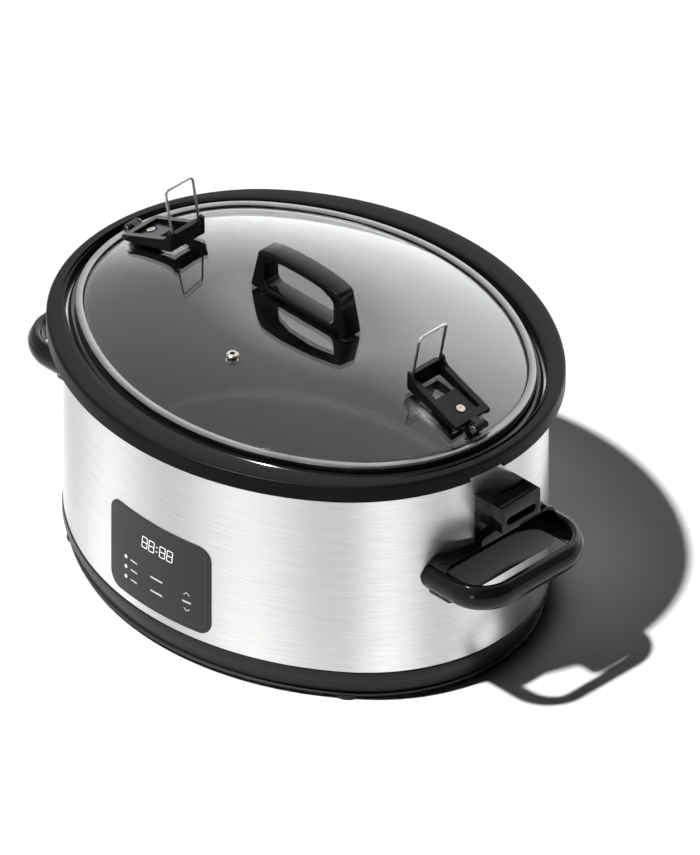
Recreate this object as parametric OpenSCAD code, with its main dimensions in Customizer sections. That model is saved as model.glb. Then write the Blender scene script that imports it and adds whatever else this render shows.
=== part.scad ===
// Oval slow cooker with a domed glass lid, two swing-over lid latches and two side handles.
// Origin: centre of the footprint, on the surface that the feet stand on. +Z up, front towards -Y.
// Every wall follows an oval of four tangent arcs: two end arcs and two flatter side arcs.
// Inside one oval family the arc centres stay put, so walls are exactly parallel.

/* [Body oval] */
// Distance from the middle to the centre of each end arc of the steel wall
body_c = 56; // [45:1:68]
// Distance from the middle to the centre of each side arc of the steel wall
body_d = 69.5; // [55:0.5:80]
// End radius of the steel wall, outside
body_r = 117; // [97:0.5:141]
// Thickness of the steel wall sheet
wrap_t = 0.8; // [0.6:0.1:1.2]
// Height of the visible steel wall
wall_h = 141.9; // [118:0.1:171]

/* [Collar] */
// Distance from the middle to the centre of each end arc of the collar
rim_c = 42; // [36:1:48]
// Distance from the middle to the centre of each side arc of the collar
rim_d = 51.3; // [45:0.1:57]
// How far the collar stands out past the steel wall at each end
rim_over = 7; // [6:0.5:9]
// Height of the collar
collar_h = 12.3; // [11:0.1:15]
// Thickness of the collar's top and skirt
collar_t = 3; // [2.4:0.1:3.6]
// Edge radius of the collar
collar_edge = 2; // [1:0.1:2.4]
// Length of the cut in the collar's skirt above each catch
notch_l = 28; // [20:1:34]
// Height of the cut in the collar's skirt
notch_h = 3.4; // [2:0.1:4.5]

/* [Base] */
// Height of the rubber feet below the bottom cover
foot_h = 3; // [2:0.1:4.5]
// Radius of a foot
foot_r = 10; // [7:0.5:12]
// Thickness of the bottom cover
cover_t = 2; // [1.6:0.1:3]
// Height of the set-back skirt under the band
skirt_h = 10.5; // [8:0.5:14]
// Height of the band under the steel wall
band_h = 7.8; // [6:0.1:11]
// Thickness of the base pan's walls and floor
pan_t = 2.4; // [2:0.1:3]
// Radius of the hole for the mains lead in its bushing
lead_r = 3.6; // [3:0.1:4.2]
// Height of the mains lead above the surface
lead_z = 44.5; // [40:0.5:60]

/* [Crock and well] */
// Depth of the crock inside
crock_depth = 128; // [104:1:150]
// Wall thickness of the crock
crock_t = 6; // [5:0.5:8]
// How much the crock narrows from top to bottom, on each side
crock_taper = 12; // [8:0.5:14]
// Gap between the crock and the well
well_gap = 2; // [1.5:0.1:3]
// Thickness of the well's sheet
well_t = 1; // [0.8:0.1:1.4]
// Height of the heater band round the well
heater_h = 50; // [35:1:60]

/* [Lid] */
// Gap between the lid ring and the collar's opening
lid_gap = 6.1; // [4:0.1:8]
// Thickness of the glass
glass_t = 4; // [3:0.1:5]
// Rise of the glass from its edge to its flat middle
dome_h = 21; // [17:0.5:25]
// Width of the steel lid ring
ring_w = 5.3; // [4:0.1:7]
// Half the length of the lid handle at its foot
grip_l = 43.9; // [38:0.1:50]
// Thickness of the lid handle
grip_w = 13.4; // [11:0.1:16]
// Height of the lid handle
grip_h = 35.6; // [30:0.1:42]
// Half the distance between the lid handle's screws
grip_screw = 37.4; // [34:0.1:40]
// Radius of the steam vent's hole
vent_r = 1.7; // [1.2:0.1:2.4]
// Distance of the steam vent from the middle of the lid, towards the front
vent_y = 67; // [50:1:75]

/* [Latches] */
// Width of a latch lever
lever_w = 30.8; // [28:0.1:36]
// Width of each side rail of a lever
rail_w = 4.2; // [3.6:0.1:4.4]
// Distance from the lever's hinge to the bail's pivot, level
pivot_in = 48.7; // [42:0.1:52]
// Height of the bail's pivot above the lever's hinge
pivot_up = 20.1; // [18:0.1:24]
// Length of the bail from its pivot to its crossbar
bail_l = 34.4; // [31:0.1:38]
// Half the distance between the bail's legs
bail_y = 12.2; // [11:0.1:12.4]
// Radius of the bail's wire
wire_r = 0.95; // [0.8:0.05:1.1]
// Radius of the hinge pin
pin_r = 1.6; // [1.3:0.1:1.9]
// How far the bail leans outwards when the lever lies on the lid, in degrees
bail_lean = 11; // [8:0.5:13]
// Swing of the lever from the lid to its locked place, in degrees
lever_swing = 178; // [170:1:178]
// Further swing of the bail into its slot, in degrees
bail_swing = 9.5; // [7:0.5:11]

/* [Side handles] */
// Half the length of a side handle
loop_y = 55; // [48:0.5:62]
// Reach of a side handle past the steel wall
loop_out = 43; // [38:0.5:48]
// Width of the handle's bar
loop_w = 9; // [8:0.5:11]
// Outside corner radius of the handle
loop_corner = 29; // [22:0.5:32]
// Height of the handle's bar above the surface
loop_z = 94.5; // [80:0.5:104]
// Height of the handle's back plate
plate_h = 32; // [26:1:36]
// Width of the catch block
catch_w = 35.2; // [33:0.1:38]
// Height of the catch block
catch_h = 19.1; // [17:0.1:23]

/* [Control panel] */
// Width of the panel
panel_w = 91; // [76:1:104]
// Height of the panel
panel_h = 68; // [57:1:74]
// Height of the panel's middle above the surface
panel_z = 63.5; // [60:0.5:70]
// Corner radius of the panel
panel_corner = 10; // [6:0.5:12]

/* [Hidden] */
$fn = 96;
slack = 0.1;                    // gap between pieces that seat on each other
pin_slack = 0.05;               // gap round a hinge pin
z_cover = foot_h;
z_skirt = z_cover + cover_t;
z_band = z_skirt + skirt_h;
z_wall = z_band + band_h;
z_collar = z_wall + wall_h;
z_rim = z_collar + collar_h;
body_a = body_c + body_r;       // half length of the steel wall
body_k = norm([body_c, body_d]);// side radius minus end radius, steel wall family
body_b = body_r + body_k - body_d;
rim_k = norm([rim_c, rim_d]);   // the same for the collar's outline
rim_r = body_a + rim_over - rim_c;
open_r = body_r - 1.3;          // collar opening, end radius
wrap_in = body_r - wrap_t;      // inside of the steel wall
seat_z = z_rim - 10;            // top of the well's rim, where the crock hangs
crock_top = seat_z + well_t + 6;
crock_floor = crock_top - crock_depth;
crock_r = body_r - 11.5;        // crock outside, just under its flange
ring_r = open_r - lid_gap;      // outside of the lid ring
ring_top = crock_top + 6.3;
glass_r = ring_r - ring_w;      // where the dome starts
glass_edge = crock_top + 5;     // top of the glass at its edge
flat_r = 9.3;                   // end radius of the flat middle of the glass
dome_w = glass_r - flat_r;
dome_steps = 9;
glass_top = glass_edge + dome_h;
seat_x = body_c + ring_r - 26;  // screw that holds a latch base
hinge_x = seat_x + 18.6;
function dome_at(r) = glass_edge + dome_h * (1 - pow((r - flat_r) / dome_w, 2));
seat_r = seat_x - body_c;
seat_top = dome_at(seat_r);
slope = atan(2 * dome_h * (seat_r - flat_r) / pow(dome_w, 2));
hinge_z = seat_top - 0.75;
wall_x = hinge_x - pivot_in - 1.8;  // inner face of the lever's end wall
pivot_x = hinge_x - pivot_in;
pivot_z = hinge_z + pivot_up;
wall_top = pivot_z + 4.8;
wall_low = dome_at(wall_x - body_c) + 2.5;
// A point of the lever after it swings outwards by an angle about its hinge
function swung(x, z, a) = [
    hinge_x + (x - hinge_x) * cos(a) + (z - hinge_z) * sin(a),
    hinge_z - (x - hinge_x) * sin(a) + (z - hinge_z) * cos(a)];
hook_pivot = swung(pivot_x, pivot_z, lever_swing);
hook_lean = bail_lean - (180 - lever_swing) + bail_swing;
hook_x = hook_pivot[0] - bail_l * sin(hook_lean);
hook_z = hook_pivot[1] - bail_l * cos(hook_lean);
catch_face = hook_x - 0.2;      // front of the catch block: the wire sits in the slot's mouth
slot_h = 5.8;
slot_half = bail_y + 1;
catch_low = hook_z - slot_h / 2 - 3.8;
plate_face = body_a + 5;
lead_hole = lead_r + 2.4;
screw_r = 2;
handle_screw_y = 35;
cover_screws = [[88, 60], [-88, 60], [-88, -60], [88, -60]];
feet_at = [body_c + 0.556 * body_r, 0.71 * body_r];
panel_front = body_r + body_k;
board_y = -body_b + 11.6;       // back of the control board's posts
steel = "silver";
plastic = [0.13, 0.13, 0.14];
gloss = [0.05, 0.05, 0.05];

// Sweeps a half profile, drawn as (end radius, height), round an oval of four arcs
module sweep(c, d) {
    half = atan2(d, c);
    // Each end arc runs a little way into the side arcs, a hair further in and up, so that they join
    for (turn = [0, 180])
        rotate([0, 0, turn]) translate([c, 0, 0]) rotate([0, 0, -half - 0.5])
            rotate_extrude(angle = 2 * half + 1) translate([-0.02, 0.02]) children();
    for (turn = [0, 180])
        rotate([0, 0, turn]) translate([0, -d, 0]) rotate([0, 0, half])
            rotate_extrude(angle = 180 - 2 * half) translate([norm([c, d]), 0]) children();
}

// Flat oval of four arcs with end radius r
module oval(c, d, r) {
    k = norm([c, d]);
    intersection() {
        translate([0, d]) circle(r + k);
        translate([0, -d]) circle(r + k);
        square([2 * (c + r * c / k), 2 * (r + k)], center = true);
    }
    for (s = [-1, 1]) translate([s * c, 0]) circle(r);
}

module body_oval(r) { oval(body_c, body_d, r); }

module body_wall(r, t) {
    difference() {
        body_oval(r);
        body_oval(r - t);
    }
}

// A straight ring of the body family between two heights
module band(r, t, low, high) {
    translate([0, 0, low]) linear_extrude(high - low) body_wall(r, t);
}

// Solid of the body family, used to trim what seats on the steel wall
module body_plug(r, low, high) {
    translate([0, 0, low]) linear_extrude(high - low) body_oval(r);
}

module round_rect(w, h, r) {
    square([w - 2 * r, h], center = true);
    square([w, h - 2 * r], center = true);
    for (x = [-1, 1], y = [-1, 1]) translate([x * (w / 2 - r), y * (h / 2 - r)]) circle(r);
}

// Lays a flat shape drawn as (x, z) upright and gives it a width centred on y = 0
module upright(w) {
    rotate([90, 0, 0]) translate([0, 0, -w / 2]) linear_extrude(w) children();
}

module both_sides() {
    children();
    mirror([1, 0, 0]) children();
}

module at_seat() {
    translate([seat_x, 0, seat_top]) rotate([0, slope, 0]) children();
}

module outer_wrap() color(steel) difference() {
    band(body_r, wrap_t, z_wall, z_collar + 1.4);
    translate([0, -body_b, panel_z]) rotate([90, 0, 0]) translate([0, 0, -20])
        linear_extrude(40) round_rect(panel_w - 5, panel_h - 5, panel_corner - 2.5);
    translate([0, body_b - 10, lead_z]) rotate([-90, 0, 0]) cylinder(r = lead_hole, h = 20);
    handle_holes(screw_r + 0.2);
}

module handle_holes(r) {
    for (s = [-1, 1], y = [-1, 1])
        translate([s * (body_a - 30), y * handle_screw_y, loop_z]) rotate([0, s * 90, 0])
            cylinder(r = r, h = 33);
    for (s = [-1, 1])
        translate([s * (body_a - 30), 0, catch_low + catch_h / 2]) rotate([0, s * 90, 0])
            cylinder(r = r, h = 33);
}

// The collar's outline belongs to the rounder family, its opening to the body family
module top_collar() color(plastic) difference() {
    union() {
        sweep(rim_c, rim_d) polygon([
            [rim_r - collar_t, z_collar], [rim_r, z_collar],
            for (a = [0:22.5:90]) [rim_r - collar_edge * (1 - cos(a)),
                z_rim - collar_edge * (1 - sin(a))],
            [rim_r - collar_t, z_rim]]);
        difference() {
            translate([0, 0, z_rim - collar_t]) linear_extrude(collar_t)
                oval(rim_c, rim_d, rim_r - collar_t);
            body_plug(open_r, z_rim - 20, z_rim + 1);
        }
        band(body_r + 1.5, body_r + 1.5 - open_r, z_collar + 1.5, z_rim - collar_t);
        band(open_r + slack, 2.6, z_collar - 6, seat_z - 0.5);
    }
    for (s = [0, 180]) rotate([0, 0, s])
        translate([body_a, -notch_l + 1, z_collar - 1]) cube([20, notch_l, notch_h + 1]);
}

module base_pan() color(plastic) difference() {
    union() {
        band(body_r + 0.75, 5, z_band, z_wall - 0.6);
        band(body_r, 4, z_wall - 0.7, z_wall);
        band(wrap_in - slack, 3.3 - slack, z_band, z_wall + 7);
        sweep(body_c, body_d) polygon([[body_r - 6.4, z_skirt], [body_r - 4, z_skirt],
            [body_r - 1.6, z_band + 0.5], [body_r - 1.6, z_band + 1.3], [body_r - 4, z_band + 1.3]]);
        body_plug(body_r - 5, z_skirt + 3.5, z_skirt + 3.5 + pan_t);
        for (p = cover_screws) translate([p[0], p[1], z_skirt]) cylinder(r = 5, h = 9);
        translate([0, 0, z_skirt]) cylinder(r = 9, h = 9);
    }
    for (p = cover_screws) translate([p[0], p[1], z_skirt - 1]) cylinder(r = 1.5, h = 9);
    translate([0, 0, z_skirt - 1]) cylinder(r = 3.2, h = 20);
}

module bottom_cover() color(plastic) difference() {
    union() {
        body_plug(body_r - 2.4, z_cover + 0.6, z_skirt - slack);
        body_plug(body_r - 3, z_cover, z_cover + 0.6);
    }
    for (p = cover_screws) translate([p[0], p[1], z_cover - 1]) {
        cylinder(r = 1.9, h = 9);
        cylinder(r = 3.6, h = 1.9);
    }
    for (row = [-3:3], s = [-1, 1]) translate([row * 9 - 1.5, s * 38 - 14, z_cover - 1])
        cube([3, 28, 9]);
    translate([0, 0, z_cover - 1]) cylinder(r = 6, h = 9);
}

module rubber_feet() color("black")
    for (x = [-1, 1], y = [-1, 1]) translate([x * feet_at[0], y * feet_at[1], 0])
        rotate_extrude() polygon([[0, 0], [foot_r - 1.2, 0], [foot_r, 1],
            [foot_r, foot_h - slack / 2], [0, foot_h - slack / 2]]);

module cover_screws() color(steel)
    for (p = cover_screws) translate([p[0], p[1], z_cover + 0.2]) {
        cylinder(r = 3.3, h = 0.7);
        cylinder(r = 1.45, h = 7.5);
    }

// Profile of a tapered cup: outside line pushed out by gap, wall t
module cup(gap, t, low, high, rim) {
    drop = high - low;
    round_r = 9;
    top = crock_r + gap;
    bottom = top - crock_taper;
    sweep(body_c, body_d) polygon([
        [bottom - round_r - t - 3, low], [bottom - round_r, low],
        for (a = [22.5:22.5:90]) [bottom - round_r + round_r * sin(a),
            low + round_r * (1 - cos(a))],
        [top, high], [rim, high], [rim, high + t], [top - t, high + t],
        [bottom - t, low + round_r],
        for (a = [67.5:-22.5:0]) [bottom - round_r + (round_r - t) * sin(a),
            low + round_r - (round_r - t) * cos(a)],
        [bottom - round_r - t - 3, low + t]]);
    body_plug(bottom - round_r - t - 1, low + 0.2, low + t - 0.2);
}

module heating_well() color("lightgray") difference() {
    cup(well_gap + well_t, well_t, crock_floor - crock_t - 3, seat_z, open_r - slack);
    translate([0, 0, 20]) cylinder(r = 3.2, h = 40);
}

module heater_band() color("tan") {
    low = z_wall + 39;
    reach = crock_r + well_gap + well_t + 0.4;
    rise = (seat_z - (crock_floor - crock_t - 3) - 9) / crock_taper;
    lean = heater_h / rise;
    start = reach - (seat_z - low) / rise;
    sweep(body_c, body_d) polygon([[start, low], [start + 2, low],
        [start + 2 + lean, low + heater_h], [start + lean, low + heater_h]]);
}

module heat_shield() color("gainsboro") difference() {
    body_plug(78, crock_floor - crock_t - 8, crock_floor - crock_t - 7.4);
    translate([0, 0, 20]) cylinder(r = 3.2, h = 40);
    translate([40, 0, 20]) cylinder(r = 6, h = 40);
}

module tie_bolt() color(steel) {
    top = crock_floor - crock_t - 3 + well_t;
    translate([0, 0, top + slack]) cylinder(r = 5.5, h = 1.4);
    translate([0, 0, z_cover + 0.8]) cylinder(r = 3, h = top + slack - z_cover - 0.8);
}

module tie_nut() color(steel) difference() {
    translate([0, 0, z_cover + 0.2]) cylinder(r = 5.4, h = cover_t - 0.2 - slack, $fn = 6);
    translate([0, 0, 0]) cylinder(r = 3.02, h = 20);
}

module temperature_sensor() color("sienna")
    translate([40, 0, crock_floor - crock_t - 13]) {
        cylinder(r = 5, h = 9.8);
        translate([0, 0, 9.8]) cylinder(r = 3.5, h = 0.1);
    }

module thermal_fuse() color("white")
    translate([-52, 18, crock_floor - crock_t - 10.6]) rotate([0, 90, 0]) {
        cylinder(r = 2.4, h = 18);
        translate([0, 0, -6]) cylinder(r = 0.6, h = 30);
    }

module panel_shape(w, h, r) {
    translate([0, -body_b, panel_z]) rotate([90, 0, 0]) translate([0, 0, -30])
        linear_extrude(60) round_rect(w, h, r);
}

// The panel's skin follows the side arc of the steel wall
module control_panel() color([0.25, 0.25, 0.26]) intersection() {
    translate([0, body_d, 0]) difference() {
        cylinder(r = panel_front + 0.7, h = 150);
        translate([0, 0, -1]) cylinder(r = panel_front + 0.05, h = 160);
    }
    panel_shape(panel_w, panel_h, panel_corner);
}

module control_carrier() color("dimgray") difference() {
    intersection() {
        translate([0, body_d, 0]) difference() {
            cylinder(r = panel_front - 0.05, h = 150);
            translate([0, 0, -1]) cylinder(r = panel_front - 3.2, h = 160);
        }
        panel_shape(panel_w - 5.6, panel_h - 5.6, panel_corner - 2.8);
    }
    panel_shape(46, 16, 1);
}

module control_board() color("darkgreen") {
    translate([-40, board_y - 1.6, panel_z - 26]) cube([80, 1.6, 52]);
    for (x = [-36, 36], z = [-22, 22])
        translate([x, board_y - 1.6, panel_z + z]) rotate([90, 0, 0])
            cylinder(r = 2, h = post_l(x));
}

// Length of a board post up to the back of the carrier
function post_l(x) = board_y - 1.6 - (body_d - sqrt(pow(panel_front - 3.2, 2) - pow(abs(x) + 2, 2)))
    - slack;

module display_module() color("black")
    translate([-22, board_y - 1.6 - 4.6, panel_z - 7]) cube([44, 4.6 - slack, 14]);

module indicator_leds() color("white")
    for (i = [0:2]) translate([-30, board_y - 1.6 - slack, panel_z + 2 - 9 * i - 4])
        rotate([90, 0, 0]) cylinder(r = 1.5, h = 3);

module power_board() color("darkgreen") {
    low = z_skirt + 3.5 + pan_t;
    translate([-100, -25, low + 5]) difference() {
        cube([60, 70, 1.6]);
        for (x = [4, 56], y = [4, 66]) translate([x, y, -1]) cylinder(r = 1.6, h = 5);
    }
}

module power_relay() color("royalblue")
    translate([-92, -10, z_skirt + 3.5 + pan_t + 6.6 + slack]) cube([18, 15, 11]);

module board_screws() color(steel)
    for (x = [4, 56], y = [4, 66])
        translate([-100 + x, -25 + y, z_skirt + 3.5 + pan_t + slack]) {
            cylinder(r = 2.8, h = 4.8);
            cylinder(r = 1.5, h = 7);
            translate([0, 0, 6.7]) cylinder(r = 2.6, h = 1.6);
        }

// Bushing that grips the mains lead where it passes through the steel wall at the back
module cord_bushing() color("black")
    translate([0, body_b, lead_z]) rotate([-90, 0, 0]) difference() {
        union() {
            translate([0, 0, slack]) cylinder(r1 = lead_hole + 2.6, r2 = lead_hole + 1.6, h = 3);
            translate([0, 0, -4]) cylinder(r = lead_hole - slack, h = 6);
            translate([0, 0, -wrap_t - 3.4]) cylinder(r = lead_hole + 1.6, h = 2.8);
        }
        translate([0, 0, -10]) cylinder(r = lead_r, h = 20);
    }

// Section of the handle's bar: inner side at 0, outer side at loop_w, drawn about its mid height
module bar_section() {
    polygon([[0, 7.5], [loop_w * 0.28, 9.6], [loop_w * 0.6, 9.4], [loop_w, 2.6],
        [loop_w * 0.9, -4], [loop_w * 0.55, -8.2], [loop_w * 0.2, -8.8], [0, -6.4]]);
}

module side_handle() difference() {
    bar_x = body_a + loop_out - loop_w;
    in_r = loop_corner - loop_w;
    turn_x = body_a + loop_out - loop_corner;
    turn_y = loop_y - loop_corner;
    union() {
        translate([bar_x, turn_y, loop_z]) rotate([90, 0, 0]) linear_extrude(2 * turn_y)
            bar_section();
        for (s = [0, 1]) mirror([0, s, 0]) {
            translate([turn_x, turn_y, loop_z]) rotate_extrude(angle = 90)
                translate([in_r, 0]) bar_section();
            translate([body_a - 24, loop_y - loop_w, loop_z]) rotate([90, 0, 90])
                linear_extrude(turn_x - body_a + 24) bar_section();
        }
        translate([body_a - 24, -loop_y + 5, loop_z - plate_h / 2])
            cube([plate_face - body_a + 24, 2 * loop_y - 10, plate_h]);
        translate([body_a - 10, -catch_w / 2, loop_z + plate_h / 2 - 1])
            cube([plate_face - body_a + 10, catch_w, catch_low - slack - loop_z - plate_h / 2 + 1]);
    }
    body_plug(body_r + 0.05, loop_z - 60, z_rim);
    for (y = [-1, 1]) translate([body_a - 30, y * handle_screw_y, loop_z]) rotate([0, 90, 0])
        cylinder(r = screw_r + 0.02, h = 33);
}

module catch_block() difference() {
    translate([body_a - 5, -catch_w / 2, catch_low]) cube([catch_face - body_a + 5, catch_w, catch_h]);
    body_plug(body_r + 0.05, catch_low - 10, z_rim);
    translate([catch_face - 6.4, 0, hook_z]) rotate([90, 0, 90]) linear_extrude(10)
        round_rect(2 * slot_half, slot_h, slot_h / 2 - 0.1);
    translate([body_a - 30, 0, catch_low + catch_h / 2]) rotate([0, 90, 0])
        cylinder(r = screw_r + 0.02, h = 40);
}

module handle_screws() color(steel) both_sides() {
    for (y = [-1, 1]) one_screw(y * handle_screw_y, loop_z, 2.9);
    one_screw(0, catch_low + catch_h / 2, 0.5);
}

// Screw whose head bears on the inside of the steel wall; dip is how far the wall is set back there
module one_screw(y, z, dip) {
    head = body_c + sqrt(pow(wrap_in, 2) - pow(abs(y) + 3.6, 2)) - 2.3;
    translate([head, y, z]) rotate([0, 90, 0]) {
        cylinder(r = 3.6, h = 2.2);
        cylinder(r = screw_r, h = body_a + 3 - head);
    }
}

module crock() color([0.07, 0.07, 0.07]) {
    low = crock_floor - crock_t;
    base_r = crock_r - crock_taper;
    sweep(body_c, body_d) polygon([
        [base_r - crock_t - 15, low], [base_r - 8, low],
        for (a = [30:30:90]) [base_r - 8 + 8 * sin(a), low + 8 * (1 - cos(a))],
        [crock_r, seat_z + well_t + slack], [open_r - 2.2, seat_z + well_t + slack],
        [open_r - 1.6, crock_top - 3], [open_r - 3.6, crock_top],
        [crock_r - crock_t + 1.5, crock_top - 0.3], [crock_r - crock_t, crock_top - 2],
        [base_r - crock_t, crock_floor + 12],
        for (a = [60:-30:0]) [base_r - crock_t - 12 + 12 * sin(a), crock_floor + 12 * (1 - cos(a))],
        [base_r - crock_t - 15, crock_floor]]);
    body_plug(base_r - crock_t - 13, low + 0.6, crock_floor - 0.6);
}

module lid_glass() color([0.7, 0.75, 0.73, 0.4]) difference() {
    union() {
        sweep(body_c, body_d) polygon([
            for (i = [0:dome_steps])
                let (r = glass_r - dome_w * i / dome_steps) [r, dome_at(r)],
            [flat_r - 3, glass_top], [flat_r - 3, glass_top - glass_t],
            for (i = [dome_steps:-1:0])
                let (r = glass_r - dome_w * i / dome_steps) [r, dome_at(r) - glass_t]]);
        body_plug(flat_r - 1, glass_top - glass_t + 0.06, glass_top - 0.06);
        band(ring_r - 2.1, ring_w - 1.1, glass_edge - glass_t + 0.5, glass_edge - 0.1);
    }
    for (s = [-1, 1]) translate([s * grip_screw, 0, glass_top - 10]) cylinder(r = 2.4, h = 20);
    translate([0, -vent_y, glass_top - 20]) cylinder(r = vent_r + 1.8, h = 40);
    both_sides() at_seat() translate([0, 0, -12]) cylinder(r = 2.4, h = 24);
}

module lid_ring() color(steel)
    sweep(body_c, body_d) polygon([
        [ring_r - 2, glass_edge - glass_t + 0.4], [ring_r - 0.6, glass_edge - glass_t + 0.4],
        [ring_r, glass_edge - glass_t + 1.2], [ring_r, ring_top - 1.4],
        [ring_r - 0.5, ring_top - 0.4], [ring_r - 1.6, ring_top],
        [glass_r + 1, ring_top], [glass_r, ring_top - 0.5], [glass_r, glass_edge + slack],
        [ring_r - 2, glass_edge + slack]]);

module lid_gasket() color("gray")
    band(ring_r - 1, 8, crock_top + 0.05, glass_edge - glass_t - 0.05);

// Closed handle: arched top, sides that lean in, and a long opening
module lid_handle() color(gloss) difference() {
    foot = glass_top + 0.8;
    lean = 7;
    arch = 3.6;
    side_h = grip_h - arch - 0.4;
    half_top = grip_l - lean;
    arch_r = (half_top * half_top + arch * arch) / (2 * arch);
    upright(grip_w) intersection() {
        polygon([[-grip_l, foot], [grip_l, foot], [half_top, foot + side_h],
            [half_top, foot + grip_h], [-half_top, foot + grip_h], [-half_top, foot + side_h]]);
        translate([0, foot + side_h + arch - arch_r]) circle(arch_r);
    }
    upright(grip_w + 2) {
        translate([0, foot + 16]) round_rect(2 * grip_l - 26, 23.6, 6);
        translate([0, foot + side_h + arch - 5.7 - arch_r]) intersection() {
            circle(arch_r);
            translate([0, arch_r - 5]) square([2 * half_top - 14, 16], center = true);
        }
    }
    for (s = [-1, 1]) translate([s * grip_screw, 0, foot - 1]) cylinder(r = 1.9, h = 12);
}

module lid_handle_screws() color(steel)
    for (s = [-1, 1]) translate([s * grip_screw, 0, glass_top - glass_t - 3.2]) {
        cylinder(r = 3.8, h = 2.2);
        cylinder(r = 1.85, h = 15);
    }

module lid_handle_washers() color("dimgray")
    for (s = [-1, 1], low = [glass_top + 0.05, glass_top - glass_t - 0.95])
        translate([s * grip_screw, 0, low]) difference() {
            cylinder(r = 5, h = low > glass_top ? 0.7 : 0.9);
            translate([0, 0, -1]) cylinder(r = 1.9, h = 4);
        }

module vent_grommet() color(steel) {
    top = dome_at(vent_y + body_d - body_k);
    translate([0, -vent_y, top]) difference() {
        union() {
            translate([0, 0, 0.5]) rotate_extrude() polygon([[0, 0], [vent_r + 2.5, 0],
                [vent_r + 2.5, 0.5], [vent_r + 1.7, 1.1], [0, 1.1]]);
            translate([0, 0, -glass_t - 1.6]) cylinder(r = vent_r + 1.7, h = glass_t + 2.6);
            translate([0, 0, -glass_t - 2.4]) cylinder(r = vent_r + 2.5, h = 1.2);
        }
        translate([0, 0, -20]) cylinder(r = vent_r, h = 40);
    }
}

// Base of a latch: a pad screwed through the glass, with two lugs that carry the hinge pin
module latch_base() difference() {
    union() {
        at_seat() difference() {
            translate([-14.5, -10, 1.1]) cube([20, 20, 3.7]);
            translate([0, 0, 3.6]) cylinder(r = 4, h = 4);
        }
        for (s = [-1, 1]) translate([0, s * 4.1, 0]) {
            at_seat() {
                translate([0, -1.2, 1.1]) cube([19, 2.4, 1.9]);
                translate([13.4, -1.2, 1.1]) cube([5.6, 2.4, 3.4]);
            }
            translate([hinge_x, 0, hinge_z]) rotate([90, 0, 0])
                cylinder(r = 3.1, h = 2.4, center = true);
        }
    }
    translate([hinge_x, 0, hinge_z]) rotate([90, 0, 0])
        cylinder(r = pin_r + 0.01, h = 40, center = true);
    at_seat() translate([0, 0, -10]) cylinder(r = 2.1, h = 40);
}

module latch_pads() color("dimgray") both_sides() at_seat() difference() {
    translate([0, 0, 0.05]) cylinder(r = 8, h = 1);
    translate([0, 0, -1]) cylinder(r = 2.2, h = 4);
}

module latch_screws() color(steel) both_sides() at_seat() {
    difference() {
        translate([0, 0, 3.65]) cylinder(r = 3, h = 1.6);
        translate([0, 0, 4.85]) for (a = [0, 90]) rotate([0, 0, a])
            translate([-1.8, -0.35, 0]) cube([3.6, 0.7, 2]);
    }
    translate([0, 0, -glass_t - 4.5]) cylinder(r = 2, h = glass_t + 8.2);
}

module latch_nuts() color(steel) both_sides() at_seat() translate([0, 0, -glass_t - 4]) difference() {
    union() {
        cylinder(r = 4, h = 2.6, $fn = 6);
        translate([0, 0, 2.6]) cylinder(r = 5.5, h = 0.9);
    }
    translate([0, 0, -1]) cylinder(r = 2.02, h = 6);
}

module hinge_pin() translate([hinge_x, 0, hinge_z]) rotate([90, 0, 0]) {
    cylinder(r = pin_r, h = 11.2, center = true);
    for (s = [-1, 1]) translate([0, 0, s * 5.85]) cylinder(r = pin_r + 0.9, h = 0.9, center = true);
}

// Lever: an end wall that carries the bail, two side rails, a crossbar and a hinged tongue
module latch_lever() difference() {
    end_x = hinge_x - 5.7;
    rail_top = hinge_z + 3.5;
    union() {
        for (s = [-1, 1]) translate([0, s * (lever_w - rail_w) / 2, 0]) upright(rail_w)
            polygon([[wall_x, wall_low], [wall_x, wall_top], [wall_x + 3.6, wall_top],
                [wall_x + 4.6, wall_top - 3.8], [wall_x + 7.8, wall_top - 6.8],
                [end_x, rail_top], [end_x, hinge_z + 0.9], [end_x - 4.5, hinge_z + 0.6]]);
        upright(lever_w) polygon([[wall_x, wall_low], [wall_x, wall_top - 1],
            [wall_x + 3.6, wall_top - 1], [wall_x + 3.6, wall_low]]);
        upright(lever_w) polygon([[end_x - 5, hinge_z + 2], [end_x, hinge_z + 2],
            [end_x, rail_top], [end_x - 5, rail_top + 1.9]]);
        upright(5.6 - 4 * pin_slack) {
            polygon([[end_x - 3, hinge_z + 2], [end_x - 3, rail_top + 1], [end_x, rail_top],
                [hinge_x + 0.6, hinge_z + 3.05], [hinge_x, hinge_z], [hinge_x - 2.6, hinge_z + 0.8]]);
            translate([hinge_x, hinge_z]) circle(3.1);
        }
    }
    translate([hinge_x, 0, hinge_z]) rotate([90, 0, 0])
        cylinder(r = pin_r + pin_slack, h = 40, center = true);
    for (s = [-1, 1]) translate([wall_x - 1, s * bail_y - wire_r - 0.25, pivot_z - wire_r - 0.35])
        cube([14, 2 * wire_r + 0.5, 12]);
    translate([pivot_x, 0, pivot_z]) rotate([90, 0, 0])
        cylinder(r = wire_r + pin_slack, h = 2 * (lever_w / 2 - 0.4), center = true);
}

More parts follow.
